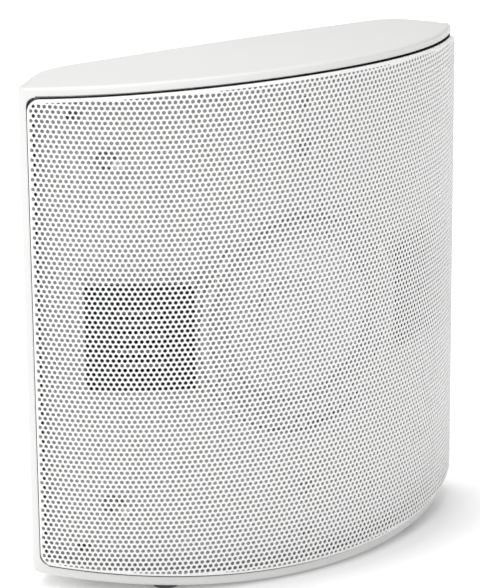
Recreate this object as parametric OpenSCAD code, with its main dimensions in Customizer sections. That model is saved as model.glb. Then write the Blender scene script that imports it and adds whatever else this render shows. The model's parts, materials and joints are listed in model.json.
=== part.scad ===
// Curved surround speaker: a white moulded cabinet with a bowed perforated grille,
// one woofer in the middle and a slatted tweeter on each side of it.
// Origin: middle of the footprint, on the surface the feet stand on. Front faces -Y, +Z is up.

/* [Cabinet] */
// Width across the two front rims
cabinet_w = 275; // [250:1:310]
// Height at the middle, without the feet
cabinet_h = 280.8; // [250:0.1:320]
// Depth from the grille's front to the rear pads
cabinet_d = 90; // [86:0.5:110]
// How far the middle of the front rim stands ahead of its ends
bow_depth = 67.4; // [55:0.1:69]
// How much lower the top edge is at the rims than at the middle
crown = 7.3; // [2:0.1:12]
// Width of the rim beside the grille
rim_w = 6; // [4:0.1:10]
// Visible band above the grille
top_band = 4.5; // [3:0.1:8]
// Visible band below the grille
bottom_band = 5.3; // [3:0.1:10]
// Thickness of the rear wall
rear_wall = 4; // [3:0.1:6]
// Radius of the rim corners seen from above
rim_corner_r = 5; // [2:0.5:6]
// Radius of the rim corners seen from the front
face_corner_r = 6; // [3:0.5:8]
// Radius of the rear corners seen from above
rear_corner_r = 16; // [6:0.5:20]
// Depth of the hollow swept into the rear wall
scoop_d = 12; // [6:0.5:14]
// Width of the flat rear face left on each side of that hollow
scoop_margin = 37.5; // [33:0.5:57]
// Space under the middle of the cabinet
foot_lift = 1; // [0.5:0.1:4]

/* [Grille] */
// Thickness of the perforated sheet
grille_t = 0.8; // [0.8:0.1:1.4]
// Gap between grille and rim
grille_gap = 1; // [0.4:0.1:1.2]
// How far the grille stands proud of the rim
grille_proud = 2.5; // [1.5:0.1:3]
// Depth of the folded edge
grille_fold = 6; // [4:0.5:7]
// Radius of the grille's corners
grille_corner_r = 6.5; // [4:0.1:8]
// Diameter of one perforation
hole_d = 15; // [6:0.5:16]
// Distance between neighbouring perforations
hole_pitch = 26; // [25.5:0.1:40]
// Plain margin around the perforated field
field_margin = 6; // [4:0.5:20]
// Diameter of a grille peg
peg_d = 5; // [4:0.5:6]

/* [Woofer] */
// Diameter of the woofer's flange
woofer_d = 124; // [118:0.5:125]
// Thickness of the flange
flange_t = 2.5; // [2:0.1:3]
// Clearance between the woofer's back plate and the rear wall
woofer_clearance = 6; // [3:0.5:9]
// Radius at the middle of the surround's roll
roll_mid_r = 50.5; // [49:0.5:51]
// Radius of the roll itself
roll_r = 4.5; // [3:0.1:4.5]
// Diameter of the voice coil former
former_d = 26; // [24:0.5:28]
// Diameter of the magnet ring
magnet_d = 76; // [70:1:80]
// Thickness of the magnet ring
magnet_t = 12; // [8:0.5:14]

/* [Tweeters] */
// Angle of each tweeter from straight ahead
tweeter_angle = 31.5; // [30.5:0.5:33]
// Side of the square faceplate
faceplate_w = 57.5; // [54:0.5:58]
// Width of the slatted opening
slot_w = 25.4; // [20:0.1:30]
// Height of the slatted opening
slot_h = 38; // [34:0.5:40]
// Number of slats
slats = 5; // [3:1:7]

/* [Terminals] */
// Distance between the two binding posts
post_pitch = 19; // [19:0.5:24]
// Diameter of a binding post knob
knob_d = 12; // [10:0.5:13]
// Bore of a plug socket
socket_d = 4; // [3:0.1:4.2]

/* [Hidden] */
$fn = 96;
CORNER_FN = 8;
far = 400;
touch = 0.02;

// Front face, grille and crowned ends
depth_half = cabinet_d/2;
face_r = (pow(cabinet_w/2, 2) + bow_depth*bow_depth)/(2*bow_depth);
pad_t = 1.5;
grille_r = face_r + grille_proud;
axis_y = grille_r - depth_half;
rim_angle = asin(cabinet_w/2/face_r);
recess_angle = rim_angle - rim_w/face_r*180/PI;
grille_angle = recess_angle - grille_gap/face_r*180/PI;
crown_r = (pow(cabinet_w/2, 2) + crown*crown)/(2*crown);
base_z = foot_lift;
top_z = foot_lift + cabinet_h;
recess_bottom = base_z + bottom_band;
recess_top = top_z - top_band;
grille_bottom = recess_bottom + grille_gap;
grille_top = recess_top - grille_gap;
mid_z = (grille_bottom + grille_top)/2;
recess_corner_r = grille_corner_r - 2.3;
rear_y = depth_half - pad_t;
scoop_half_w = cabinet_w/2 - scoop_margin;
scoop_r = (scoop_half_w*scoop_half_w + scoop_d*scoop_d)/(2*scoop_d);
scoop_y = rear_y - scoop_d;
inner_rear_y = scoop_y - rear_wall;

// Baffle
baffle_gap = 9.5;
baffle_t = 4;
baffle_r = grille_r - grille_t - baffle_gap;
edge_gap = 0.3;
woofer_face = baffle_r - 5.2;
pad_r = woofer_d/2 + 5;
flange_y = axis_y - woofer_face;
tweeter_face = baffle_r + 2.3;
screw_d = 3;
screw_head_d = 6;
boss_d = 10;
screw_inset = 22;
low_screw_z = base_z - foot_lift + screw_inset;
side_screw_x = cabinet_w/2 - 25.5;
top_screw_z = top_z - screw_inset;
side_boss_y = axis_y - sqrt(pow(baffle_r, 2) - pow(side_screw_x, 2)) + 14;
mid_boss_y = axis_y - baffle_r + baffle_t + 3;
baffle_screws_at = [for (x = [-side_screw_x, 0, side_screw_x], z = [low_screw_z, top_screw_z])
    [x, x == 0 ? mid_boss_y : side_boss_y, z]];
peg_x = cabinet_w/2 - 37.5;
seat_gap = 0.05;
peg_inset = 40;
peg_z = [grille_bottom + peg_inset, grille_top - peg_inset];
grommet_d = peg_d + 5;
grommet_t = 8;

// Terminal cup, crossover board and wall fixings
cup_z = 62;
cup_w = 58;
cup_flange_t = 2;
cup_depth = 17;
cup_wall = 2.5;
cup_y = scoop_y - 1.5;
cup_floor_y = cup_y - cup_depth;
knob_l = 13;
stem_d = socket_d + 2.4;
board = [88, 1.6, 46];
board_z = top_z - 54;
standoff_h = 8;
board_y = inner_rear_y - standoff_h;
insert_z = top_z - 91.8;
insert_d = 9;
insert_l = 12;
thread_d = 6.2;
keyhole_x = 70;
keyhole_z = top_z - 66.8;
keyhole_plate = [22, 1.5, 40];
foot_x = cabinet_w/2 - 62.5;
foot_y = [-12, 28];
foot_d = 14;
foot_seat = base_z + crown_drop(foot_x + foot_d/2) + 0.75;
rear_pad_x = cabinet_w/2 - 33;
rear_pad_d = 12;

// Points of an arc in a plane, from one angle to the other
function arc(centre, r, from, to, steps = CORNER_FN) =
    [for (i = [0:steps]) let (a = from + (to - from)*i/steps) centre + r*[cos(a), sin(a)]];
// The same points on the other side of the middle, in the opposite order
function mirrored(points) = [for (i = [len(points) - 1:-1:0]) [-points[i][0], points[i][1]]];
// Depth of the bowed surface of radius r at a distance x from the middle
function bow_y(r, x) = axis_y - sqrt(r*r - x*x);
// How much lower the crowned top is at a distance x from the middle
function crown_drop(x) = crown_r - sqrt(crown_r*crown_r - x*x);

// Solid between the two crowned ends, with its lowest and highest points given
module crowned(bottom, top, bow = crown_r) {
    intersection() {
        translate([0, far/2, top - bow]) rotate([90, 0, 0]) cylinder(r = bow, h = far, $fn = 1440);
        translate([0, far/2, bottom + bow]) rotate([90, 0, 0]) cylinder(r = bow, h = far, $fn = 1440);
    }
}

// Pie slice about the upright axis of the bowed front, between two radii
module slice(angle, outer_r, inner_r = 0) {
    intersection() {
        translate([0, axis_y, -20]) difference() {
            cylinder(r = outer_r, h = far, $fn = 360);
            if (inner_r > 0) translate([0, 0, -1]) cylinder(r = inner_r, h = far + 2, $fn = 360);
        }
        translate([0, axis_y, -20]) linear_extrude(far)
            polygon([[0, 0], [-far*sin(angle), -far*cos(angle)], [0, -far],
                     [far*sin(angle), -far*cos(angle)]]);
    }
}

// Turns a shape drawn along +Z so that it points out through the bowed front at an angle
module radial(angle, z) {
    translate([0, axis_y, z]) rotate([0, 0, angle]) rotate([90, 0, 0]) children();
}

// What a rounded corner of the grille outline cuts away
module corner_trim(angle, z, r) {
    from_r = 90;
    length = 140;
    for (side = [-1, 1])
        radial(side*angle, z) mirror([side > 0 ? 0 : 1, 0, 0]) translate([-r, 0, from_r]) difference() {
            cube([r*2, r*2, length]);
            translate([0, 0, -1]) cylinder(r = r, h = length + 2, $fn = 48);
        }
}

// Solid inside the grille's outline, drawn in by an inset, between two radii
module grille_block(inset, outer_r, inner_r = 0, corner_r = grille_corner_r) {
    angle = grille_angle - inset/face_r*180/PI;
    r = max(corner_r - inset, 0.5);
    end_drop = crown_drop(grille_r*sin(angle));
    difference() {
        intersection() {
            slice(angle, outer_r, inner_r);
            crowned(grille_bottom + inset, grille_top - inset);
        }
        corner_trim(angle, grille_top - inset - end_drop - r, r);
        mirror([0, 0, 1]) corner_trim(angle, -(grille_bottom + inset + end_drop + r), r);
    }
}

// Plan of the cabinet with rounded rim and rear corners, open towards the front
module cabinet_plan() {
    tangent_angle = rim_angle - asin(rim_corner_r/(face_r - rim_corner_r));
    rim_centre = [(face_r - rim_corner_r)*sin(tangent_angle),
                  axis_y - (face_r - rim_corner_r)*cos(tangent_angle)];
    rear_centre_y = rear_y - rear_corner_r;
    rear_centre = [(axis_y - rear_centre_y)*tan(rim_angle) - rear_corner_r/cos(rim_angle),
                   rear_centre_y];
    right = concat(
        [[(face_r + 20)*sin(tangent_angle), axis_y - (face_r + 20)*cos(tangent_angle)]],
        arc(rim_centre, rim_corner_r, tangent_angle - 90, rim_angle),
        arc(rear_centre, rear_corner_r, rim_angle, 90));
    polygon(concat([[0, axis_y - face_r - 40]], right, mirrored(right)));
}

// Front view of the cabinet's rims, which rounds their four corners
module cabinet_elevation() {
    half_w = cabinet_w/2;
    r = face_corner_r;
    slope = asin((half_w - r)/crown_r);
    low = base_z + crown_r - (crown_r - r)*cos(slope);
    high = top_z - crown_r + (crown_r - r)*cos(slope);
    x = half_w - r;
    right = concat([[x, base_z - 20]], arc([x, low], r, slope - 90, 0),
                   arc([x, high], r, 0, 90 - slope), [[x, top_z + 20]]);
    polygon(concat(right, mirrored(right)));
}

module cabinet_outer() {
    difference() {
        intersection() {
            translate([0, axis_y, -20]) cylinder(r = face_r, h = far, $fn = 360);
            translate([0, 0, -20]) linear_extrude(far) cabinet_plan();
            translate([0, far/2, 0]) rotate([90, 0, 0]) linear_extrude(far) cabinet_elevation();
            crowned(base_z, top_z);
        }
        translate([0, scoop_y + scoop_r, -20]) cylinder(r = scoop_r, h = far, $fn = 360);
    }
}

// Hollow of the cabinet, open at the front; its rear follows the scooped wall
module cabinet_hollow() {
    difference() {
        intersection() {
            grille_block(-grille_gap, grille_r + 40, corner_r = recess_corner_r);
            translate([-far/2, -far/2, -20]) cube([far, far/2 + rear_y - rear_wall, far]);
        }
        translate([0, scoop_y + scoop_r, -20]) cylinder(r = scoop_r + rear_wall, h = far, $fn = 360);
    }
}

// A round post along Y, from the given depth to the rear wall
module post(x, z, from_y, d) {
    translate([x, from_y, z]) rotate([-90, 0, 0]) cylinder(d = d, h = rear_y - 2 - from_y);
}

module blind_hole(x, z, from_y, d, depth) {
    translate([x, from_y, z]) rotate([-90, 0, 0]) cylinder(d = d, h = depth, $fn = 48);
}

module centred(size) {
    translate([-size[0]/2, 0, -size[2]/2]) cube(size);
}

module board_corners() {
    for (sx = [-1, 1], sz = [-1, 1])
        translate([sx*(board[0]/2 - 5), 0, board_z + sz*(board[2]/2 - 5)]) children();
}

module cabinet() {
    boss_reach = 12;
    color("white") difference() {
        union() {
            difference() {
                cabinet_outer();
                cabinet_hollow();
            }
            intersection() {
                union() {
                    for (p = baffle_screws_at) post(p[0], p[2], p[1] + seat_gap, boss_d);
                    post(0, insert_z, inner_rear_y - insert_l + rear_wall, 18);
                    board_corners() translate([0, board_y + board[1], 0])
                        rotate([-90, 0, 0]) cylinder(d = 8, h = standoff_h + 3);
                    for (side = [-1, 1]) translate([side*keyhole_x, scoop_y - 7, keyhole_z])
                        centred([keyhole_plate[0] + 8, 20, keyhole_plate[2] + 8]);
                }
                cabinet_outer();
            }
        }
        for (p = baffle_screws_at) blind_hole(p[0], p[2], p[1] - 1, screw_d + 0.1, boss_reach + 1);
        board_corners() blind_hole(0, 0, board_y - 1, screw_d + 0.1, 8);
        cup_opening();
        translate([0, scoop_y - insert_l, insert_z]) rotate([-90, 0, 0])
            cylinder(d = insert_d, h = far/4, $fn = 64);
        for (side = [-1, 1]) translate([side*keyhole_x, 0, keyhole_z]) keyhole_pocket();
        for (side = [-1, 1], z = [40, top_z - 40])
            translate([side*rear_pad_x, rear_y - 1, z]) rotate([-90, 0, 0])
                cylinder(d = rear_pad_d + 0.4, h = 20, $fn = 64);
        for (side = [-1, 1], y = foot_y)
            translate([side*foot_x, y, foot_seat - 20]) cylinder(d = foot_d + 0.4, h = 20, $fn = 64);
    }
}

module cup_opening() {
    translate([0, cup_y, cup_z]) centred([cup_w + 1, 30, cup_w + 1]);
    translate([0, cup_y - 20, cup_z]) centred([cup_w - 10, 40, cup_w - 10]);
    cup_corners() blind_hole(0, 0, cup_y - 3, screw_d + 0.1, 10);
}

module cup_corners() {
    for (sx = [-1, 1], sz = [-1, 1])
        translate([sx*(cup_w/2 - 3.5), 0, cup_z + sz*(cup_w/2 - 3.5)]) children();
}

// Pocket for a keyhole plate, with room behind it for the head of a wall screw
module keyhole_pocket() {
    seat_y = scoop_y + 2;
    translate([0, seat_y, 0]) centred([keyhole_plate[0] + 0.6, 30, keyhole_plate[2] + 0.6]);
    translate([0, seat_y - 6, -1]) centred([14, 10, 26]);
    for (z = [-1, 1]) translate([0, seat_y - 6, z*(keyhole_plate[2]/2 - 3)]) rotate([-90, 0, 0])
        cylinder(d = screw_d - 0.4, h = 7, $fn = 32);
}

// Wall of the baffle, following the bow of the grille behind it
module baffle_sheet() {
    intersection() {
        slice(grille_angle, baffle_r, baffle_r - baffle_t);
        grille_block(-grille_gap + edge_gap, grille_r, corner_r = recess_corner_r);
    }
}

module woofer_axis() {
    translate([0, flange_y, mid_z]) rotate([90, 0, 0]) children();
}

module tweeter_axis(side) {
    radial(side*tweeter_angle, mid_z) translate([0, 0, tweeter_face]) children();
}

module rounded_plate(w, h, t, r) {
    translate([0, 0, -t]) union() {
        translate([-w/2 + r, -h/2, 0]) cube([w - 2*r, h, t]);
        translate([-w/2, -h/2 + r, 0]) cube([w, h - 2*r, t]);
        for (sx = [-1, 1], sy = [-1, 1])
            translate([sx*(w/2 - r), sy*(h/2 - r), 0]) cylinder(r = r, h = t, $fn = 48);
    }
}

module baffle_ribs() {
    rib_t = 2.5;
    for (z = [mid_z - pad_r - 8, mid_z + pad_r + 8]) intersection() {
        slice(grille_angle - 2, baffle_r - baffle_t + touch, baffle_r - baffle_t - 6);
        translate([-far/2, -far/2, z - rib_t/2]) cube([far, far, rib_t]);
    }
}

module front_baffle() {
    plate = faceplate_w + 1.5;
    color("whitesmoke") difference() {
        union() {
            baffle_sheet();
            baffle_ribs();
            woofer_axis() translate([0, 0, -flange_t - 10]) cylinder(r = pad_r, h = 10);
            for (side = [-1, 1]) tweeter_axis(side) rounded_plate(plate, plate + 4, 8, 3);
            for (p = baffle_screws_at) intersection() {
                translate([p[0], p[1] - 14, p[2]]) rotate([-90, 0, 0]) cylinder(d = boss_d, h = 14);
                slice(recess_angle, baffle_r - 0.5);
            }
            for (x = [-peg_x, 0, peg_x], z = peg_z) peg_boss(x, z);
        }
        woofer_axis() {
            translate([0, 0, -flange_t]) cylinder(d = woofer_d + 1.2, h = 40);
            translate([0, 0, -30]) cylinder(r = woofer_d/2 - 5.5, h = 40);
            ring_of(6, woofer_d/2 - 3) translate([0, 0, -11]) cylinder(d = screw_d + 0.1, h = 12, $fn = 48);
        }
        for (side = [-1, 1]) tweeter_axis(side) {
            translate([-22, -22, -20]) cube([44, 44, 40]);
            translate([-plate/2 - 0.2, -plate/2 - 2.2, 0]) cube([plate + 0.4, plate + 4.4, 20]);
            tweeter_holes() translate([0, 0, -7]) cylinder(d = 2.6, h = 12, $fn = 32);
        }
        for (p = baffle_screws_at) {
            blind_hole(p[0], p[2], p[1] - 20, screw_d + 0.4, 30);
            translate([p[0], p[1] - 3 - 40, p[2]]) rotate([-90, 0, 0])
                cylinder(d = screw_head_d + 1, h = 40, $fn = 48);
        }
        for (x = [-peg_x, 0, peg_x], z = peg_z) peg_socket(x, z);
    }
}

function peg_seat_y(x) = bow_y(baffle_r, x) + (x == 0 ? 2 : 6);

module peg_boss(x, z) {
    if (x != 0) intersection() {
        translate([x, peg_seat_y(x) - 8, z]) rotate([-90, 0, 0])
            cylinder(d = grommet_d + 5, h = grommet_t + 10);
        slice(recess_angle, baffle_r - 0.2);
    } else translate([x, peg_seat_y(x) - 2, z]) rotate([-90, 0, 0])
        cylinder(d = grommet_d + 5, h = grommet_t + 4);
}

module peg_socket(x, z) {
    blind_hole(x, z, peg_seat_y(x) - 30, grommet_d, 30 + grommet_t);
    blind_hole(x, z, peg_seat_y(x), peg_d + 2, grommet_t + 12);
}

// Space behind the sheet, inside its folded edge; the stepped corners stay within the round ones
module grille_inside() {
    corner_step = 0.6*grille_corner_r;
    for (s = [[0, corner_step], [corner_step, 0]]) intersection() {
        slice(grille_angle - (grille_t + s[0])/face_r*180/PI, grille_r - grille_t);
        crowned(grille_bottom + grille_t + s[1], grille_top - grille_t - s[1]);
    }
}

// The grille: a bowed sheet with a folded edge and staggered perforations
module grille() {
    rows = floor((grille_top - grille_bottom - 2*(field_margin + crown) - hole_d)/(hole_pitch*sqrt(3)/2));
    degrees_per_pitch = hole_pitch/grille_r*180/PI;
    columns = floor((2*grille_angle - 2*field_margin/grille_r*180/PI)/degrees_per_pitch - hole_d/hole_pitch);
    color("white") difference() {
        grille_block(0, grille_r, grille_r - grille_fold);
        grille_inside();
        for (row = [0:rows]) let (stagger = row % 2)
            for (column = [0:columns - stagger])
                radial((column - (columns - stagger)/2)*degrees_per_pitch,
                       mid_z + (row - rows/2)*hole_pitch*sqrt(3)/2)
                    translate([0, 0, grille_r - 6]) cylinder(d = hole_d, h = 12, $fn = 48);
    }
}

module grille_pegs() {
    color("dimgray") for (x = [-peg_x, 0, peg_x], z = peg_z) intersection() {
        translate([x, peg_seat_y(x) + grommet_t + 3 - 60, z]) rotate([-90, 0, 0])
            cylinder(d = peg_d, h = 60, $fn = 48);
        translate([0, axis_y, 0]) cylinder(r = grille_r - grille_t, h = far, $fn = 360);
    }
}

module grille_grommets() {
    color("dimgray") for (x = [-peg_x, 0, peg_x], z = peg_z)
        translate([x, peg_seat_y(x), z]) rotate([-90, 0, 0]) difference() {
            cylinder(d = grommet_d, h = grommet_t - 0.1, $fn = 64);
            translate([0, 0, -1]) cylinder(d = peg_d + 0.15, h = grommet_t + 2, $fn = 48);
        }
}

module ring_of(count, r) {
    for (i = [0:count - 1]) rotate([0, 0, (i + 0.5)*360/count]) translate([r, 0, 0]) children();
}

// Depths below the flange's front: ledge of the surround, spider seat, basket floor
ledge_z = -1;
plate_t = 4;
back_t = 5;
woofer_depth = inner_rear_y - flange_y - woofer_clearance;
floor_z = 2 + plate_t + magnet_t + back_t - woofer_depth;
spider_z = floor_z + 8;
cone_depth = -spider_z - 6.5;
top_plate_z = floor_z - 2;
magnet_z = top_plate_z - plate_t;
back_z = magnet_z - magnet_t;
pole_d = former_d - 2;
gap_d = former_d + 2.4;
lip_r = roll_mid_r + roll_r;
cone_top_r = roll_mid_r - roll_r;

module woofer_gasket() {
    color("black") woofer_axis() translate([0, 0, -flange_t]) difference() {
        cylinder(r = woofer_d/2 - 0.5, h = 0.5);
        translate([0, 0, -1]) cylinder(r = woofer_d/2 - 5, h = 3);
        ring_of(6, woofer_d/2 - 3) translate([0, 0, -1]) cylinder(d = screw_d + 0.4, h = 3, $fn = 32);
    }
}

// Outline of the basket: flange, sloping wall, spider seat and floor
module woofer_basket() {
    r = woofer_d/2;
    color("gray") woofer_axis() difference() {
        rotate_extrude() polygon([
            [lip_r + 2, 0], [r, 0], [r, 0.5 - flange_t], [r - 6, 0.5 - flange_t], [r - 8, -8],
            [43, spider_z], [40, floor_z - 2], [16, floor_z - 2], [16, floor_z], [37, floor_z],
            [38.5, spider_z - 3], [34, spider_z - 3], [34, spider_z], [40.5, spider_z],
            [r - 10, -8], [lip_r - 0.5, ledge_z - 0.6], [lip_r - 0.5, ledge_z], [lip_r + 2, ledge_z]]);
        for (i = [0:5]) rotate([0, 0, i*60]) translate([30, -11, spider_z + 2.5]) cube([40, 22, 10.5]);
        ring_of(6, r - 3) translate([0, 0, -6]) cylinder(d = screw_d + 0.4, h = 8, $fn = 32);
    }
}

module woofer_surround() {
    t = 0.8;
    lip_t = 0.6;
    color("dimgray") woofer_axis() rotate_extrude() polygon(concat(
        [[lip_r + 1.8, ledge_z], [lip_r + 1.8, ledge_z + lip_t]],
        arc([roll_mid_r, ledge_z + lip_t], roll_r, 0, 180, 16),
        [[cone_top_r - 1.5, ledge_z + lip_t], [cone_top_r - 1.5, ledge_z]],
        arc([roll_mid_r, ledge_z], roll_r - t, 180, 0, 16)));
}

// The cone's depth below its rim follows a shallow curve
function cone_z(r) = let (k = (cone_top_r - r)/(cone_top_r - former_d/2)) ledge_z - cone_depth*pow(k, 0.85);

module woofer_cone() {
    t = 0.8;
    steps = 14;
    inner = former_d/2 + 0.6;
    radii = [for (i = [0:steps]) inner + (cone_top_r + 1 - inner)*i/steps];
    color("silver") woofer_axis() rotate_extrude() polygon(concat(
        [for (r = radii) [r, cone_z(min(r, cone_top_r))]],
        [for (i = [steps:-1:0]) [radii[i], cone_z(min(radii[i], cone_top_r)) - t]]));
}

module woofer_dust_cap() {
    rim_r = former_d/2 + 5;
    dome = 5;
    dome_r = (rim_r*rim_r + dome*dome)/(2*dome);
    half = asin(rim_r/dome_r);
    t = 0.7;
    base = cone_z(rim_r) + t;
    color("silver") woofer_axis() rotate_extrude() polygon(concat(
        arc([0, base + dome - dome_r], dome_r, 90 - half, 90, 12),
        arc([0, base + dome - dome_r], dome_r - t, 90, 90 - half, 12)));
}

module woofer_spider() {
    t = 0.6;
    inner = former_d/2;
    outer = 38;
    waves = 5;
    steps = 40;
    height = 1.2;
    wave = [for (i = [0:steps]) [inner + 0.6 + (outer - inner - 2.6)*i/steps,
                                 spider_z + height*(1 - cos(360*waves*i/steps))/2]];
    color("goldenrod") woofer_axis() rotate_extrude() polygon(concat(
        wave, [[outer, spider_z], [outer, spider_z + t]],
        [for (i = [steps:-1:0]) wave[i] + [0, t]]));
}

module voice_coil() {
    r = former_d/2;
    color("peru") woofer_axis() rotate_extrude() polygon([
        [r, top_plate_z - 3.5], [r + 0.6, top_plate_z - 3.5], [r + 0.6, top_plate_z + 4], [r + 0.5, top_plate_z + 4],
        [r + 0.5, cone_z(r + 0.5) + 1], [r, cone_z(r + 0.5) + 1]]);
}

module woofer_top_plate() {
    color("silver") woofer_axis() translate([0, 0, magnet_z]) difference() {
        cylinder(d = magnet_d - 10, h = plate_t);
        translate([0, 0, -1]) cylinder(d = gap_d, h = plate_t + 2);
    }
}

module woofer_magnet() {
    color("dimgray") woofer_axis() translate([0, 0, back_z]) difference() {
        cylinder(d = magnet_d, h = magnet_t);
        translate([0, 0, -1]) cylinder(d = gap_d + 6, h = magnet_t + 2);
    }
}

module woofer_back_plate() {
    color("silver") woofer_axis() difference() {
        union() {
            translate([0, 0, back_z - back_t]) cylinder(d = magnet_d - 10, h = back_t);
            translate([0, 0, back_z - touch]) cylinder(d = pole_d, h = magnet_t + plate_t);
        }
        translate([0, 0, back_z - back_t - 1]) cylinder(d = 8, h = 40);
    }
}

module screw(length, head_d = screw_head_d, shaft_d = screw_d) {
    difference() {
        union() {
            cylinder(d = head_d, h = 1.8, $fn = 48);
            translate([0, 0, -length]) cylinder(d = shaft_d, h = length + touch, $fn = 48);
        }
        for (turn = [0, 90]) rotate([0, 0, turn]) translate([-head_d*0.3, -0.4, 0.9]) cube([head_d*0.6, 0.8, 2]);
    }
}

module woofer_screws() {
    color("black") woofer_axis() ring_of(6, woofer_d/2 - 3) screw(10.8, 5.2);
}

module tweeter_holes() {
    for (sx = [-1, 1], sy = [-1, 1])
        translate([sx*(faceplate_w/2 - 4), sy*(faceplate_w/2 - 4), 0]) children();
}

// Faceplate with a slatted opening; its front stands a little proud of the baffle
module tweeter_faceplate(side) {
    t = 2.5;
    slat_pitch = slot_h/(slats + 0.2);
    slat_t = 2.4;
    color("black") tweeter_axis(side) translate([0, 0, t]) difference() {
        union() {
            difference() {
                rounded_plate(faceplate_w, faceplate_w, t, 3);
                translate([-slot_w/2, -slot_h/2, -t - 1]) cube([slot_w, slot_h, t + 2]);
            }
            for (i = [0:slats - 1]) translate([-slot_w/2 - 0.5, (i - (slats - 1)/2)*slat_pitch - slat_t/2, -t])
                cube([slot_w + 1, slat_t, t - 0.6]);
        }
        tweeter_holes() {
            translate([0, 0, -t - 1]) cylinder(d = 2.6, h = t + 2, $fn = 32);
            translate([0, 0, -1.2]) cylinder(d = 5, h = 2, $fn = 32);
        }
    }
}

// Pleated film that squeezes air out between its folds
module tweeter_diaphragm(side) {
    folds = 10;
    width = slot_w + 2;
    height = slot_h + 2;
    depth = 5;
    t = 0.5;
    step = width/folds/2;
    front = [for (i = [0:2*folds]) [i*step - width/2, i % 2 == 0 ? -depth : 0]];
    color("dimgray") tweeter_axis(side) translate([0, -height/2, -0.4]) rotate([-90, 0, 0])
        mirror([0, 1, 0]) linear_extrude(height)
            polygon(concat(front, [for (i = [2*folds:-1:0]) front[i] - [0, t*2.6]]));
}

// Magnet housing, open at the front where the film sits
module tweeter_magnet(side) {
    w = 43;
    depth = 26;
    color("dimgray") tweeter_axis(side) difference() {
        rounded_plate(w, w, depth, 3);
        translate([-slot_w/2 - 1.3, -slot_h/2 - 1.3, -8]) cube([slot_w + 2.6, slot_h + 2.6, 10]);
    }
}

module tweeter_screws() {
    color("black") for (side = [-1, 1]) tweeter_axis(side) translate([0, 0, 1.3])
        tweeter_holes() screw(7, 4.6, 2.5);
}

module baffle_screws() {
    color("black") for (p = baffle_screws_at) translate([p[0], p[1] - 3, p[2]])
        rotate([90, 0, 0]) screw(13);
}

module crossover_board() {
    color("darkgreen") difference() {
        translate([0, board_y, board_z]) centred(board);
        board_corners() blind_hole(0, 0, board_y - 1, screw_d + 0.4, 5);
    }
}

module board_screws() {
    color("silver") board_corners() translate([0, board_y, 0]) rotate([90, 0, 0]) screw(7);
}

module crossover_inductors() {
    coil_d = 24;
    coil_l = 12;
    color("peru") for (x = [-24, 6]) translate([x, board_y, board_z - 4]) rotate([90, 0, 0]) difference() {
        cylinder(d = coil_d, h = coil_l);
        translate([0, 0, -1]) cylinder(d = coil_d*3/8, h = coil_l + 2);
    }
}

module crossover_capacitors() {
    color("yellow") for (i = [0:2]) translate([20, board_y - 5.4, board_z - 13 + i*12])
        rotate([0, 90, 0]) cylinder(d = 10.8, h = 14, $fn = 64);
}

module crossover_resistor() {
    color("white") translate([-9, board_y - 8, board_z + 15]) centred([24, 8, 8]);
}

module terminal_cup() {
    inner = cup_w - 16;
    color("black") difference() {
        union() {
            translate([0, cup_y, cup_z]) centred([cup_w, cup_flange_t, cup_w]);
            translate([0, cup_floor_y - cup_wall, cup_z])
                centred([inner + 2*cup_wall, cup_depth + cup_wall + touch, inner + 2*cup_wall]);
        }
        translate([0, cup_floor_y, cup_z]) centred([inner, far/4, inner]);
        cup_corners() blind_hole(0, 0, cup_y - 1, screw_d + 0.4, 6);
        for (side = [-1, 1]) blind_hole(side*post_pitch/2, cup_z, cup_floor_y - 10, stem_d + 0.1, 20);
    }
}

module terminal_screws() {
    color("black") cup_corners() translate([0, cup_y + cup_flange_t, 0]) rotate([-90, 0, 0]) screw(6, 5.4);
}

// Hollow stem with a collar on the outside and a nut on the inside of the cup's floor
module binding_post(side) {
    translate([side*post_pitch/2, cup_floor_y, cup_z]) rotate([-90, 0, 0]) difference() {
        union() {
            cylinder(d = stem_d + 5, h = 2);
            translate([0, 0, -10]) cylinder(d = stem_d, h = 24);
            translate([0, 0, -cup_wall - 3]) cylinder(r = 5.5, h = 3, $fn = 6);
        }
        translate([0, 0, 2]) cylinder(d = socket_d, h = 20, $fn = 48);
        translate([0, 0, 3.4]) rotate([0, 90, 0]) cylinder(d = 2.2, h = 20, center = true, $fn = 32);
    }
}

module red_binding_post() { color("gold") binding_post(-1); }
module black_binding_post() { color("gold") binding_post(1); }

// Fluted knob that turns on the stem
module knob(side) {
    translate([side*post_pitch/2, cup_floor_y + 5, cup_z]) rotate([-90, 0, 0]) difference() {
        cylinder(d = knob_d, h = knob_l - 4);
        translate([0, 0, -1]) cylinder(d = stem_d + 0.1, h = knob_l + 2, $fn = 64);
        for (i = [0:11]) rotate([0, 0, i*30]) translate([knob_d/2 + 0.4, 0, 2]) cylinder(r = 1, h = knob_l, $fn = 24);
    }
}

module red_knob() { color("red") knob(-1); }
module black_knob() { color("black") knob(1); }

module bracket_insert() {
    color("gold") translate([0, scoop_y - insert_l, insert_z]) rotate([-90, 0, 0]) difference() {
        cylinder(d = insert_d, h = insert_l - 0.5, $fn = 64);
        translate([0, 0, 2]) cylinder(d = thread_d, h = insert_l, $fn = 64);
    }
}

module keyhole_plates() {
    color("silver") for (side = [-1, 1]) translate([side*keyhole_x, scoop_y + 2, keyhole_z]) difference() {
        centred(keyhole_plate);
        translate([0, -1, -7]) rotate([-90, 0, 0]) cylinder(d = 9.5, h = 5, $fn = 48);
        translate([0, -1, 8]) rotate([-90, 0, 0]) cylinder(d = 4.6, h = 5, $fn = 48);
        translate([-2.3, -1, -7]) cube([4.6, 5, 15]);
        for (z = [-1, 1]) translate([0, -1, z*(keyhole_plate[2]/2 - 3)]) rotate([-90, 0, 0])
            cylinder(d = screw_d, h = 5, $fn = 32);
    }
}

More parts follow.
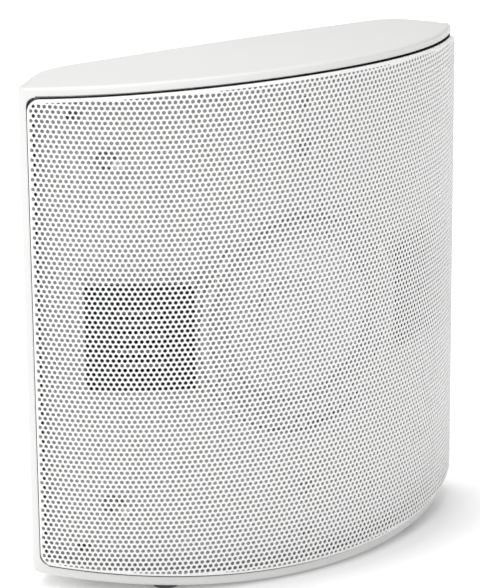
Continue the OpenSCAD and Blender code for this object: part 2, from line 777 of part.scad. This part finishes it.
module keyhole_screws() {
    color("silver") for (side = [-1, 1], z = [-1, 1])
        translate([side*keyhole_x, scoop_y + 2 + keyhole_plate[1], keyhole_z + z*(keyhole_plate[2]/2 - 3)])
            rotate([-90, 0, 0]) screw(6, 4.6, screw_d - 0.5);
}

// Foam on the inside of the rear wall, beside the woofer's magnet
module damping_pads() {
    pad = [40, 30, 90];
    color("dimgray") for (side = [-1, 1]) difference() {
        translate([side*(magnet_d/2 + 32), inner_rear_y - 5, mid_z - 12.5]) centred(pad);
        translate([0, scoop_y + scoop_r, -20]) cylinder(r = scoop_r + rear_wall + 0.3, h = far, $fn = 360);
    }
}

module rear_pads() {
    color("gray") for (side = [-1, 1], z = [40, top_z - 40])
        translate([side*rear_pad_x, rear_y - 1, z]) rotate([-90, 0, 0]) cylinder(d = rear_pad_d, h = pad_t + 1);
}

module feet() {
    color("gray") for (side = [-1, 1], y = foot_y)
        translate([side*foot_x, y, 0]) cylinder(d = foot_d, h = foot_seat, $fn = 64);
}

cabinet();
front_baffle();
grille();
grille_pegs();
grille_grommets();
woofer_gasket();
woofer_basket();
woofer_cone();
woofer_surround();
woofer_dust_cap();
woofer_spider();
voice_coil();
woofer_top_plate();
woofer_magnet();
woofer_back_plate();
woofer_screws();
tweeter_faceplate(-1);  // left_tweeter_faceplate
tweeter_faceplate(1);  // right_tweeter_faceplate
tweeter_diaphragm(-1);  // left_tweeter_diaphragm
tweeter_diaphragm(1);  // right_tweeter_diaphragm
tweeter_magnet(-1);  // left_tweeter_magnet
tweeter_magnet(1);  // right_tweeter_magnet
tweeter_screws();
baffle_screws();
crossover_board();
crossover_inductors();
crossover_capacitors();
crossover_resistor();
board_screws();
terminal_cup();
terminal_screws();
red_binding_post();
black_binding_post();
red_knob();
black_knob();
bracket_insert();
keyhole_plates();
keyhole_screws();
damping_pads();
rear_pads();
feet();
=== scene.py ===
"""Looks of a white surround speaker with a bowed perforated grille.

Lengths are in metres. +Z is up, -Y is the way the front faces, and the origin is on the floor.
"""
import json
import math

import bmesh
import bpy
import numpy as np
from mathutils import Matrix, Vector


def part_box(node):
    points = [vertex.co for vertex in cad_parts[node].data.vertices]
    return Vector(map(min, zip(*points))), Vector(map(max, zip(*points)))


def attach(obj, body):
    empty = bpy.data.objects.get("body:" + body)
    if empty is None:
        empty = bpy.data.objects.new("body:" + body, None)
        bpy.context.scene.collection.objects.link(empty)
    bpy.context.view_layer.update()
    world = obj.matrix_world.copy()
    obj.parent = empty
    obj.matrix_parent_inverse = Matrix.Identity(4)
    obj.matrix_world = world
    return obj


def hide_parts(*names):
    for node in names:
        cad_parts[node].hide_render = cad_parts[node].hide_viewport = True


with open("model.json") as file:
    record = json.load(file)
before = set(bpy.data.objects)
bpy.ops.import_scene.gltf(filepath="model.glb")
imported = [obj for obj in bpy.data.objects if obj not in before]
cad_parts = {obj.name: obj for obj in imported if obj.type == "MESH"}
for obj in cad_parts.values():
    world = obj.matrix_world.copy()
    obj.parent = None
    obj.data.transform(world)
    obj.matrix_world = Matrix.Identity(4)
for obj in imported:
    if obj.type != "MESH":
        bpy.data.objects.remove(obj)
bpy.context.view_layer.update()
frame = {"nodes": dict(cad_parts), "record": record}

MM = 0.001

# Bow of the front about its upright axis, and the crown of the two ends
GRILLE_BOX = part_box("grille")
GRILLE_R = 176.45*MM
AXIS_Y = GRILLE_BOX[0][1] + GRILLE_R
HALF_ARC = GRILLE_R*math.asin(GRILLE_BOX[1][0]/GRILLE_R)
MID_Z = (GRILLE_BOX[0][2] + GRILLE_BOX[1][2])/2
HALF_H = (GRILLE_BOX[1][2] - GRILLE_BOX[0][2])/2
CROWN = 7.3*MM
CROWN_HALF_W = 137.5*MM
CROWN_R = (CROWN_HALF_W**2 + CROWN**2)/(2*CROWN)

# Perforated sheet: a honeycomb of cells, each with a round hole in it
SHEET_T = 0.55*MM
FOLD_DEPTH = 6*MM
# Depth below the face past which the fold's outside is painted near-black, a painted shade for the
# gap
FOLD_SHADE_DEPTH = 2.1*MM
CORNER_R = 6.5*MM
BEND_R = 1.0*MM
EDGE_LAP = 0.4*MM
EDGE_LIFT = 0.02*MM
PITCH = 3.0*MM
ROW = PITCH*math.sqrt(3)/2
HOLE_R = 1.07*MM
HOLE_SIDES = 12
CELL_SIDES = 6
FIELD_INSET = 1.25*MM
CENTRE_SLACK = PITCH*0.45
LEAST_OPEN = 0.7*HOLE_R
STRIPS = 4

# Rounding of the cabinet's edges
FACE_R = GRILLE_R - 2.5*MM
END_ROUNDING = 1.8*MM
RIM_ROUNDING = 0.5*MM
FOOT_R = 7*MM
FOOT_TOP = 20*MM
ROLL_START = 131.5*MM
ROLL_WIDTH = 6.1*MM
GAP_REACH = 1.8*MM
NEAR_END, NEAR_ROLL = 0.08*MM, 2*MM
MERGE_REACH = 0.6*MM

# Slatted opening of the tweeters
TWEETER_ANGLE = math.radians(31.5)
TWEETER_SLOT = (25.4*MM, 38*MM)

# Camera, worked out from the perforations
CAMERA_PLACE = (-0.8403, -1.3074, 0.6355)
CAMERA_AZIMUTH = math.radians(32.15)
CAMERA_ELEVATION = math.radians(17.45)
CAMERA_ROLL = math.radians(-0.55)
FOCAL_LENGTH_MM = 184.96
SENSOR_MM = 36

# Light of the studio: the floor glows, as painted light; it glows less under the speaker, a painted
# shadow, and a little more far from it
FLOOR_SIZE = 24
FLOOR_GLOW, BESIDE_GLOW, FAR_GLOW = 0.14, 0.42, 0.12
SHADOW_REACH = (0.11, 0.2)
SHADOW_ASPECT = 4.8
FAR_REACH = (0.25, 1.3)
WORLD_LIGHT = 0.46
KEY_POWER, OVERHEAD_POWER = 14, 31


def crown_drop(x):
    """How far the crowned end falls below its middle at a distance x from it."""
    return CROWN_R - np.sqrt(CROWN_R**2 - x**2)


def bowed(s, z, depth):
    """Point at arc length s and height z on the bowed front, at a depth below its face."""
    angle = s/GRILLE_R
    r = GRILLE_R - depth
    return np.stack([r*np.sin(angle), AXIS_Y - r*np.cos(angle), z], axis=-1)


def held_inside(s, z, inset):
    """Points pushed back onto the grille's rounded outline, drawn in by inset, from outside it."""
    half_s = HALF_ARC - inset
    half_z = HALF_H - inset - crown_drop(GRILLE_R*np.sin(s/GRILLE_R))
    r = max(CORNER_R - inset, 0.5*MM)
    a = np.minimum(np.abs(s), half_s)
    b = np.minimum(np.abs(z - MID_Z), half_z)
    da, db = a - (half_s - r), b - (half_z - r)
    reach = np.hypot(da, db)
    cut = (da > 0) & (db > 0) & (reach > r)
    shrink = np.where(cut, r/np.maximum(reach, r), 1)
    a = np.where(cut, half_s - r + da*shrink, a)
    b = np.where(cut, half_z - r + db*shrink, b)
    return np.copysign(a, s), MID_Z + np.copysign(b, z - MID_Z)


def outline_loop(inset, depth, per_side=96, per_corner=10):
    """One closed loop round the grille: a rounded rectangle whose long ends follow the crown."""
    r = max(CORNER_R - inset, 0.2*MM)
    a, b = HALF_ARC - inset - r, HALF_H - inset - r
    turn = np.linspace(0, math.pi/2, per_corner)
    corners = [(a, b), (-a, b), (-a, -b), (a, -b)]
    s, v = [], []
    for quarter, (ca, cb) in enumerate(corners):
        s.append(ca + r*np.cos(turn + quarter*math.pi/2))
        v.append(cb + r*np.sin(turn + quarter*math.pi/2))
        na, nb = corners[(quarter + 1) % 4]
        step = np.linspace(0, 1, per_side + 2)[1:-1]
        end = (quarter + 1)*math.pi/2
        s.append(ca + (na - ca)*step + r*math.cos(end))
        v.append(cb + (nb - cb)*step + r*math.sin(end))
    s, v = np.concatenate(s), np.concatenate(v)
    drop = crown_drop(GRILLE_R*np.sin(s/GRILLE_R))
    return bowed(s, MID_Z + v - np.sign(v)*drop*np.minimum(np.abs(v)/b, 1), depth)


def mesh_object(name, points, faces, smooth_angle=None):
    """A mesh object at the origin from an array of points and lists or arrays of faces."""
    mesh = bpy.data.meshes.new(name)
    mesh.from_pydata(np.asarray(points).reshape(-1, 3).tolist(), [],
                     faces if isinstance(faces, list) else faces.tolist())
    mesh.update()
    obj = bpy.data.objects.new(name, mesh)
    bpy.context.collection.objects.link(obj)
    if smooth_angle:
        mesh.shade_smooth()
        mesh.set_sharp_from_angle(angle=math.radians(smooth_angle))
    return obj


def loft(name, rows, close_path=True, close_profile=False, smooth_angle=40):
    """Surface through rows of points: each row is a loop, and neighbouring rows are joined."""
    rows = np.asarray(rows)
    count, n = rows.shape[:2]
    index = np.arange(count*n).reshape(count, n)
    if close_profile:
        index = np.vstack([index, index[:1]])
    if close_path:
        index = np.hstack([index, index[:, :1]])
    faces = np.stack([index[:-1, :-1], index[:-1, 1:], index[1:, 1:], index[1:, :-1]], axis=-1)
    return mesh_object(name, rows, faces.reshape(-1, 4), smooth_angle)


def honeycomb(low, high):
    """Centres of the staggered holes between two row numbers, in half pitches and thirds of
    a row."""
    rows = np.arange(low, high)
    columns = np.arange(-int(HALF_ARC/PITCH) - 1, int(HALF_ARC/PITCH) + 2)
    row, column = np.meshgrid(rows, columns, indexing="ij")
    return np.stack([2*column + row % 2, 3*row], axis=-1).reshape(-1, 2)


def perforated_strip(name, low, high):
    """A band of the sheet. Each hole sits in a hexagon of the honeycomb, whose corners neighbours
    share; both are pushed back to the edge of the field where they lie outside it."""
    unit = np.array([PITCH/2, ROW/3])
    centres = honeycomb(low, high)
    at = centres*unit + [0, MID_Z]
    held = np.stack(held_inside(at[:, 0], at[:, 1], BEND_R), axis=-1)
    inside = np.hypot(*(at - held).T) < CENTRE_SLACK
    centres, at = centres[inside], at[inside]
    count = len(centres)
    corner = np.array([[0, 2], [-1, 1], [-1, -1], [0, -2], [1, -1], [1, 1]])
    keys = (centres[:, None] + corner).reshape(-1, 2)
    grid, corner_index = np.unique(keys, axis=0, return_inverse=True)
    corner_index = corner_index.reshape(count, CELL_SIDES)
    angle = math.pi/2 + np.arange(HOLE_SIDES)*2*math.pi/HOLE_SIDES
    rim = at[:, None] + HOLE_R*np.stack([np.cos(angle), np.sin(angle)], axis=-1)
    rs, rz = held_inside(rim[..., 0], rim[..., 1], FIELD_INSET)
    open_hole = (np.ptp(rz, axis=1) > LEAST_OPEN) & (np.ptp(rs, axis=1) > LEAST_OPEN)
    cs, cz = held_inside(*(grid*unit + [0, MID_Z]).T, BEND_R)
    total = len(grid) + count*HOLE_SIDES
    front = np.concatenate([bowed(cs, cz, 0), bowed(rs.ravel(), rz.ravel(), 0)])
    back = np.concatenate([bowed(cs, cz, SHEET_T), bowed(rs.ravel(), rz.ravel(), SHEET_T)])
    hole = len(grid) + np.arange(count*HOLE_SIDES).reshape(count, HOLE_SIDES)
    k = np.arange(CELL_SIDES)
    c0, c1 = corner_index, corner_index[:, (k + 1) % CELL_SIDES]
    h0, h1, h2 = hole[:, 2*k], hole[:, 2*k + 1], hole[:, (2*k + 2) % HOLE_SIDES]
    web = np.concatenate([np.stack(t, axis=-1)[open_hole].reshape(-1, 3)
                          for t in ((c0, h1, c1), (c0, h0, h1), (c1, h1, h2))])
    blank = np.concatenate([corner_index[~open_hole][:, [0, i, i + 1]]
                            for i in range(1, CELL_SIDES - 1)])
    face = np.concatenate([web, blank])
    ring = hole[open_hole]
    after = np.roll(ring, -1, axis=1)
    walls = np.stack([ring, after, after + total, ring + total], axis=-1).reshape(-1, 4)
    sides = np.stack([c0, c1], axis=-1).reshape(-1, 2)
    flat = np.sort(sides, axis=1)
    _, first, seen = np.unique(flat, axis=0, return_index=True, return_counts=True)
    edge = sides[first[seen == 1]]
    border = np.stack([edge[:, 1], edge[:, 0], edge[:, 0] + total, edge[:, 1] + total], axis=-1)
    faces = face[:, ::-1].tolist() + (face + total).tolist()
    faces += walls.tolist() + border.tolist()
    return mesh_object(name, np.concatenate([front, back]), faces)


def grille_edge():
    """Profile carried round the outline: bend of the sheet, folded edge, and back up inside. The
    fold's outside, where it sits in the gap of the cabinet, is painted near-black as painted shade."""
    turn = np.linspace(0, math.pi/2, 7)
    inner_r = BEND_R - SHEET_T
    profile = [(BEND_R + EDGE_LAP, -EDGE_LIFT)]
    profile += [(BEND_R - BEND_R*math.sin(t), BEND_R - BEND_R*math.cos(t) - EDGE_LIFT)
                for t in turn]
    shaded_fold_row = len(profile)
    profile += [(0, FOLD_SHADE_DEPTH), (0, FOLD_DEPTH), (SHEET_T, FOLD_DEPTH)]
    profile += [(BEND_R - inner_r*math.sin(t), BEND_R - inner_r*math.cos(t) + EDGE_LIFT)
                for t in turn[::-1]]
    profile += [(BEND_R + EDGE_LAP, SHEET_T + EDGE_LIFT)]
    rows = [outline_loop(inset, depth) for inset, depth in profile]
    edge = loft("grille_edge", rows, close_profile=True)
    # The outside of the fold, past its first 2.1 mm, takes the second finish: near-black painted
    # shade for the gap
    material = np.repeat(np.arange(len(rows)) == shaded_fold_row, len(rows[0])).astype(np.int32)
    edge.data.attributes.new("material_index", "INT", "FACE").data.foreach_set("value", material)
    return edge


def rounded_cabinet(source):
    """The moulded shell: a merged copy of the node's mesh, with a bevel where a crowned end meets
    a side and a finer one along the rim of the recess."""
    low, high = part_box("cabinet")
    foot_low, foot_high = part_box("feet")
    mesh = source.data.copy()
    mesh.name = "rounded_cabinet"
    mesh.materials.clear()
    shell = bmesh.new()
    shell.from_mesh(mesh)
    bmesh.ops.remove_doubles(shell, verts=shell.verts, dist=0.001*MM)
    bmesh.ops.dissolve_limit(shell, angle_limit=math.radians(0.5), verts=shell.verts,
                             edges=shell.edges)

    def on_end(point):
        """On the crowned top or bottom, or on the roll at either side of it."""
        drop = crown_drop(point.x)
        near = NEAR_END if abs(point.x) < CROWN_HALF_W - ROLL_WIDTH else NEAR_ROLL
        return min(abs(point.z - high[2] + drop), abs(point.z - low[2] - drop)) < near

    def is_end(face):
        rolled = abs(face.normal.y) < 0.05 and abs(face.normal.z) > 0.5
        return rolled and all(on_end(v.co) for v in face.verts)

    def takes_gap_shade(face):
        """Wall of the opening, behind its rim and round the fold of the grille; it is painted dark
        grey as painted shade in the gap.
        """
        reach = [math.hypot(v.co.x, v.co.y - AXIS_Y) for v in face.verts]
        inside = all(abs(v.co.x) < GRILLE_BOX[1][0] + GAP_REACH
                     and abs(v.co.z - MID_Z) < HALF_H + GAP_REACH - crown_drop(v.co.x)
                     for v in face.verts)
        return inside and max(reach) > FACE_R - 0.2*MM > FACE_R - MM > min(reach)

    def beside_foot(point):
        """Near a foot, where the edge stays sharp."""
        beside = abs(abs(point.x) - foot_high[0] + FOOT_R) < FOOT_R + MM
        return beside and foot_low[1] - MM < point.y < foot_high[1] + MM and point.z < FOOT_TOP

    def rounding(edge):
        """Share of the full rounding that an edge gets."""
        middle = (edge.verts[0].co + edge.verts[1].co)/2
        between = is_end(edge.link_faces[0]) != is_end(edge.link_faces[1])
        if between and edge.calc_face_angle() > math.radians(30) and not beside_foot(middle):
            return 1.0
        reach = [math.hypot(v.co.x, v.co.y - AXIS_Y) for v in edge.verts]
        on_rim = min(reach) > FACE_R - 0.06*MM and edge.calc_face_angle() > math.radians(50)
        return RIM_ROUNDING/END_ROUNDING if on_rim else 0.0

    rolls = [e for e in shell.edges if all(is_end(f) for f in e.link_faces)
             and min(abs(v.co.x) for v in e.verts) > ROLL_START]
    bmesh.ops.dissolve_edges(shell, edges=rolls, use_verts=False)
    # Faces of the gap's wall take the second finish, a dark grey that is painted shade
    for face in shell.faces:
        face.material_index = int(takes_gap_shade(face))
    ends = {v for e in shell.edges if rounding(e) == 1.0 for v in e.verts}
    bmesh.ops.remove_doubles(shell, verts=list(ends), dist=MERGE_REACH)
    weight = shell.edges.layers.float.new("bevel_weight_edge")
    for edge in shell.edges:
        edge[weight] = rounding(edge)
    shell.to_mesh(mesh)
    shell.free()
    obj = bpy.data.objects.new("rounded_cabinet", mesh)
    bpy.context.collection.objects.link(obj)
    bevel = obj.modifiers.new("rounding", "BEVEL")
    bevel.limit_method = "WEIGHT"
    bevel.width = END_ROUNDING
    bevel.segments = 4
    bevel.use_clamp_overlap = False
    mesh.shade_smooth()
    smooth = obj.modifiers.new("even_shading", "WEIGHTED_NORMAL")
    smooth.keep_sharp = True
    mesh.set_sharp_from_angle(angle=math.radians(35))
    return obj


# Materials
class Socket:
    """A shader socket on which arithmetic adds Math nodes."""

    def __init__(self, make, socket):
        self.make, self.socket = make, socket

    def maths(self, operation, *others):
        values = [v.socket if isinstance(v, Socket) else v for v in (self, *others)]
        return self.make.node("ShaderNodeMath", {"operation": operation}, dict(enumerate(values)))

    def __add__(self, other):
        return self.maths("ADD", other)

    def __mul__(self, other):
        return self.maths("MULTIPLY", other)

    def __sub__(self, other):
        return self.maths("SUBTRACT", other)

    def __rsub__(self, other):
        return Socket.maths(Socket(self.make, other), "SUBTRACT", self)

    def __pow__(self, other):
        return self.maths("POWER", other)

    __radd__, __rmul__ = __add__, __mul__


class Maker:
    """One material: its nodes are made by one method, and the shader's constants set directly."""

    def __init__(self, name, colour, roughness, **constants):
        self.material = bpy.data.materials.new(name)
        self.material.use_nodes = True
        self.tree = self.material.node_tree
        self.shader = self.tree.nodes["Principled BSDF"]
        self.shader.inputs["Base Color"].default_value = (*colour, 1)
        self.shader.inputs["Roughness"].default_value = roughness
        for key, value in constants.items():
            self.shader.inputs[key.replace("_", " ")].default_value = value
        self.material.diffuse_color = (*colour, 1)

    def node(self, kind, settings, inputs, output=0):
        node = self.tree.nodes.new(kind)
        for key, value in settings.items():
            setattr(node, key, value)
        for key, value in inputs.items():
            if isinstance(value, Socket):
                value = value.socket
            if isinstance(value, bpy.types.NodeSocket):
                self.tree.links.new(value, node.inputs[key])
            else:
                node.inputs[key].default_value = value
        return Socket(self, node.outputs[output])

    def place(self, scale=(1, 1, 1), offset=(0, 0, 0), turn=(0, 0, 0)):
        where = self.node("ShaderNodeTexCoord", {}, {}, "Object")
        return self.node("ShaderNodeMapping", {}, {"Vector": where, "Scale": scale,
                                                   "Location": offset, "Rotation": turn})

    def coordinates(self):
        split = self.node("ShaderNodeSeparateXYZ", {}, {"Vector": self.place()})
        return [Socket(self, split.socket.node.outputs[i]) for i in range(3)]

    def noise(self, scale, detail=3, roughness=0.5, where=None):
        return self.node("ShaderNodeTexNoise", {}, {"Vector": where or self.place(), "Scale": scale,
                                                    "Detail": detail, "Roughness": roughness})

    def between(self, mask, low, high):
        """Colour that goes from low to high with the mask."""
        return self.node("ShaderNodeMix", {"data_type": "RGBA"},
                         {0: mask, 6: (*low, 1), 7: (*high, 1)}, 2)

    def drive(self, name, value):
        self.tree.links.new(value.socket, self.shader.inputs[name])

    def bump(self, height, strength, distance):
        self.drive("Normal", self.node("ShaderNodeBump", {}, {"Height": height, "Strength": strength,
                                                              "Distance": distance}))


def shade(colour, factor):
    return tuple(min(c*factor, 1) for c in colour)


def moulded(name, colour, roughness, grain=900, depth=0.05*MM, **constants):
    """Moulded plastic: fine grain in the surface, slightly uneven colour and gloss."""
    m = Maker(name, colour, roughness, **constants)
    cloud = m.noise(9, 2)
    m.drive("Base Color", m.between(cloud, shade(colour, 0.975), shade(colour, 1.02)))
    m.drive("Roughness", m.noise(60, 3)*0.12 + (roughness - 0.06))
    m.bump(m.noise(grain, 2), 0.35, depth)
    return m.material


def powder_coat(name, colour):
    """Sprayed paint with a soft orange peel."""
    m = Maker(name, colour, 0.42)
    m.drive("Base Color", m.between(m.noise(14, 2), shade(colour, 0.985), shade(colour, 1.01)))
    m.drive("Roughness", m.noise(120, 2)*0.14 + 0.36)
    m.bump(m.noise(1400, 2), 0.25, 0.04*MM)
    return m.material


def rubber(name, colour):
    m = Maker(name, colour, 0.7)
    m.drive("Base Color", m.between(m.noise(45, 4), shade(colour, 0.8), shade(colour, 1.3)))
    m.drive("Roughness", m.noise(160, 3)*0.2 + 0.6)
    m.bump(m.noise(1600, 3), 0.4, 0.05*MM)
    return m.material


def paper_cone(name, colour):
    """Pressed cone: mottled fibre and fine rings about the woofer's axis."""
    m = Maker(name, colour, 0.5)
    m.drive("Base Color", m.between(m.noise(220, 4, 0.6), shade(colour, 0.86), shade(colour, 1.08)))
    rings = m.node("ShaderNodeTexWave", {"wave_type": "RINGS", "rings_direction": "SPHERICAL"},
                   {"Vector": m.place(offset=(0, 0, -MID_Z)), "Scale": 160, "Distortion": 0.2})
    m.bump(rings*0.5 + m.noise(900, 3)*0.5, 0.35, 0.08*MM)
    return m.material


def metal(name, colour, roughness, streak=(1, 1, 1)):
    """Bare or plated metal with fine, uneven gloss."""
    m = Maker(name, colour, roughness, Metallic=1.0)
    marks = m.noise(260, 4, 0.6, m.place(scale=streak))
    m.drive("Base Color", m.between(marks, shade(colour, 0.85), shade(colour, 1.08)))
    m.drive("Roughness", marks*0.25 + (roughness - 0.1))
    m.bump(marks, 0.15, 0.03*MM)
    return m.material


def cast(name, colour):
    """Sintered or painted rough metal."""
    m = Maker(name, colour, 0.6, Metallic=0.15)
    m.drive("Base Color", m.between(m.noise(190, 4), shade(colour, 0.7), shade(colour, 1.5)))
    m.bump(m.noise(1100, 4), 0.5, 0.08*MM)
    return m.material


def woven(name, colour):
    """Resin-stiffened cloth: two crossed sets of threads."""
    m = Maker(name, colour, 0.8)
    threads = [m.node("ShaderNodeTexWave", {"bands_direction": axis},
                      {"Vector": m.place(), "Scale": 420}) for axis in ("X", "Z")]
    weave = threads[0]*threads[1]
    m.drive("Base Color", m.between(weave, shade(colour, 0.6), shade(colour, 1.15)))
    m.bump(weave, 0.6, 0.12*MM)
    return m.material


def winding(name, colour):
    """Enamelled wire laid turn by turn along the woofer's axis."""
    m = Maker(name, colour, 0.3, Metallic=0.9)
    turns = m.node("ShaderNodeTexWave", {"bands_direction": "Y"}, {"Vector": m.place(), "Scale": 600})
    m.drive("Base Color", m.between(turns, shade(colour, 0.5), shade(colour, 1.15)))
    m.bump(turns, 0.7, 0.15*MM)
    return m.material


def slatted(name, colour, bar_colour):
    """Black faceplate whose bars, in front of the film, are paler."""
    m = Maker(name, colour, 0.4)
    x, y, z = m.coordinates()
    turn = x.maths("ABSOLUTE").maths("ARCTAN2", AXIS_Y - y) - TWEETER_ANGLE
    beside = turn.maths("ABSOLUTE").maths("LESS_THAN", TWEETER_SLOT[0]/2/GRILLE_R)
    above = (z - MID_Z).maths("ABSOLUTE").maths("LESS_THAN", TWEETER_SLOT[1]/2)
    m.drive("Base Color", m.between(beside*above, colour, bar_colour))
    m.drive("Roughness", m.noise(60, 3)*0.12 + 0.34)
    m.bump(m.noise(900, 2), 0.35, 0.05*MM)
    return m.material


def foil_film(name, colour):
    """Thin film with bright foil strips across its folds."""
    m = Maker(name, colour, 0.3)
    strips = m.node("ShaderNodeTexWave", {"bands_direction": "Z"}, {"Vector": m.place(), "Scale": 38})
    mask = m.node("ShaderNodeMath", {"operation": "GREATER_THAN"}, {0: strips, 1: 0.55})
    m.drive("Base Color", m.between(mask, colour, (0.5, 0.5, 0.5)))
    m.drive("Metallic", mask*0.8)
    m.drive("Roughness", m.noise(300, 2)*0.1 + 0.25)
    return m.material


def circuit_board(name, colour):
    """Solder mask over a grid of copper tracks."""
    m = Maker(name, colour, 0.3, Coat_Weight=0.4)
    tracks = m.node("ShaderNodeTexBrick", {"offset": 0.5},
                    {"Vector": m.place(turn=(math.pi/2, 0, 0)), "Scale": 90,
                     "Color1": (0, 0, 0, 1), "Color2": (0.2, 0.2, 0.2, 1),
                     "Mortar": (1, 1, 1, 1), "Mortar Size": 0.06})
    m.drive("Base Color", m.between(tracks, colour, shade(colour, 2.4)))
    m.bump(tracks, 0.4, 0.05*MM)
    return m.material


def open_foam(name, colour):
    m = Maker(name, colour, 0.95)
    cells = m.node("ShaderNodeTexVoronoi", {}, {"Vector": m.place(), "Scale": 420})
    m.drive("Base Color", m.between(cells, shade(colour, 0.4), shade(colour, 1.5)))
    m.bump(cells, 0.9, 0.5*MM)
    return m.material


def finishes():
    """One material for each slot of the record."""
    return {
        "white_shell": moulded("white_shell", (0.75, 0.75, 0.74), 0.38),
        "baffle_plastic": moulded("baffle_plastic", (0.55, 0.55, 0.545), 0.55),
        "grille_metal": powder_coat("grille_metal", (0.88, 0.88, 0.875)),
        # Painted shade: dark grey for the wall of the recess in the gap round the grille
        "painted_gap_shade": rubber("painted_gap_shade", (0.2, 0.2, 0.2)),
        # Painted shade: near-black for the grille's fold inside the gap of the cabinet
        "painted_fold_shade": rubber("painted_fold_shade", (0.02, 0.02, 0.02)),
        "white_nylon": moulded("white_nylon", (0.52, 0.52, 0.51), 0.5),
        "white_rubber": moulded("white_rubber", (0.8, 0.8, 0.79), 0.7),
        "soft_rubber": rubber("soft_rubber", (0.1, 0.1, 0.105)),
        "foam_gasket": open_foam("foam_gasket", (0.45, 0.45, 0.45)),
        "basket_metal": cast("basket_metal", (0.55, 0.55, 0.55)),
        "cone": paper_cone("cone", (0.66, 0.66, 0.66)),
        "surround_rubber": rubber("surround_rubber", (0.5, 0.5, 0.5)),
        "spider_cloth": woven("spider_cloth", (0.55, 0.38, 0.14)),
        "copper_wire": winding("copper_wire", (0.72, 0.3, 0.12)),
        "white_screws": powder_coat("white_screws", (0.6, 0.6, 0.595)),
        "plated_steel": metal("plated_steel", (0.66, 0.66, 0.63), 0.35),
        "ferrite": cast("ferrite", (0.05, 0.05, 0.055)),
        "black_screws": metal("black_screws", (0.06, 0.06, 0.065), 0.4),
        "black_plastic": moulded("black_plastic", (0.018, 0.018, 0.02), 0.45),
        "slatted_black": slatted("slatted_black", (0.012, 0.012, 0.013), (0.24, 0.24, 0.24)),
        "film": foil_film("film", (0.05, 0.05, 0.055)),
        "circuit_board": circuit_board("circuit_board", (0.02, 0.13, 0.05)),
        "capacitor_film": moulded("capacitor_film", (0.62, 0.42, 0.05), 0.3),
        "ceramic": moulded("ceramic", (0.72, 0.71, 0.66), 0.75, grain=1500),
        "gold_plate": metal("gold_plate", (0.86, 0.62, 0.22), 0.22),
        "red_plastic": moulded("red_plastic", (0.5, 0.012, 0.012), 0.3),
        "foam": open_foam("foam", (0.1, 0.1, 0.11)),
    }


def dress(obj, *finish):
    """Gives a piece its finishes. Clearing also resets which face wears which, so a new piece,
    which has none yet, keeps its own choice."""
    if obj.data.materials:
        obj.data.materials.clear()
    for material in finish:
        obj.data.materials.append(material)


def look_camera():
    """Camera at the front left, turned by its azimuth, elevation and roll."""
    sin_az, cos_az = math.sin(CAMERA_AZIMUTH), math.cos(CAMERA_AZIMUTH)
    sin_roll, cos_roll = math.sin(CAMERA_ROLL), math.cos(CAMERA_ROLL)
    level = math.cos(CAMERA_ELEVATION)
    ahead = Vector((sin_az*level, cos_az*level, -math.sin(CAMERA_ELEVATION)))
    right = Vector((cos_az, -sin_az, 0))
    up = right.cross(ahead)
    right, up = right*cos_roll + up*sin_roll, up*cos_roll - right*sin_roll
    data = bpy.data.cameras.new("camera")
    data.sensor_fit = "VERTICAL"
    data.sensor_height = SENSOR_MM
    data.lens = FOCAL_LENGTH_MM
    data.clip_end = 50
    camera = bpy.data.objects.new("camera", data)
    turned = Matrix((right, up, -ahead)).transposed().to_4x4()
    camera.matrix_world = Matrix.Translation(CAMERA_PLACE) @ turned
    bpy.context.collection.objects.link(camera)
    bpy.context.scene.camera = camera


def area_light(name, place, aim, size, power):
    """Square soft light of the given side, aimed at a point."""
    data = bpy.data.lights.new(name, "AREA")
    data.size = size
    data.energy = power
    light = bpy.data.objects.new(name, data)
    light.location = place
    light.rotation_euler = (Vector(aim) - Vector(place)).to_track_quat("-Z", "Y").to_euler()
    bpy.context.collection.objects.link(light)


def studio():
    """White floor that glows, less round the speaker as a painted shadow; white surroundings and
    large soft lights.
    """
    bpy.ops.mesh.primitive_plane_add(size=FLOOR_SIZE, location=(0, 0, 0))
    floor = bpy.context.object
    floor.name = "studio_floor"
    m = Maker("studio_floor", (0.8, 0.8, 0.8), 0.9, Emission_Strength=1)
    x, y, _ = m.coordinates()
    # Painted shadow: the floor glows least close round the speaker, and two ramps raise its glow
    # further out
    near, out = [m.node("ShaderNodeMapRange", {}, {0: (x*x + y*y*aspect)**0.5, 1: start, 2: end})
                 for aspect, (start, end) in ((SHADOW_ASPECT, SHADOW_REACH), (1, FAR_REACH))]
    m.drive("Emission Color", near*BESIDE_GLOW + out*FAR_GLOW + FLOOR_GLOW)
    dress(floor, m.material)
    world = bpy.data.worlds.new("studio")
    world.use_nodes = True
    background = world.node_tree.nodes["Background"].inputs
    background["Color"].default_value = (1, 1, 1, 1)
    background["Strength"].default_value = WORLD_LIGHT
    bpy.context.scene.world = world
    bpy.context.scene.view_settings.view_transform = "Standard"
    area_light("key", (-1.6, -1.2, 1.7), (0, 0, 0.15), 1.2, KEY_POWER)
    area_light("overhead", (-0.5, 0.1, 2.1), (0, 0, 0), 2.0, OVERHEAD_POWER)


def build():
    """Dresses every node, and puts the fine grille and the rounded shell in place of theirs."""
    look_camera()
    materials = finishes()
    slots = {s["node"]: s["material_slot"] for s in frame["record"]["subparts"]}
    for name, obj in frame["nodes"].items():
        dress(obj, materials[slots[name]])
    rows = int(HALF_H/ROW) + 1
    cuts = np.linspace(-rows, rows + 1, STRIPS + 1).astype(int)
    sheet = [perforated_strip(f"grille_sheet_{i + 1}", low, high)
             for i, (low, high) in enumerate(zip(cuts[:-1], cuts[1:]))]
    edge = grille_edge()
    for piece in sheet:
        dress(piece, materials["grille_metal"])
    # The fold's outside takes the painted shade
    dress(edge, materials["grille_metal"], materials["painted_fold_shade"])
    for piece in [*sheet, edge]:
        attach(piece, "grille_panel")
        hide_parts("grille")
    shell = rounded_cabinet(frame["nodes"]["cabinet"])
    # The wall of the recess takes the painted shade
    dress(shell, materials["white_shell"], materials["painted_gap_shade"])
    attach(shell, "speaker")
    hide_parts("cabinet")
    studio()


build()
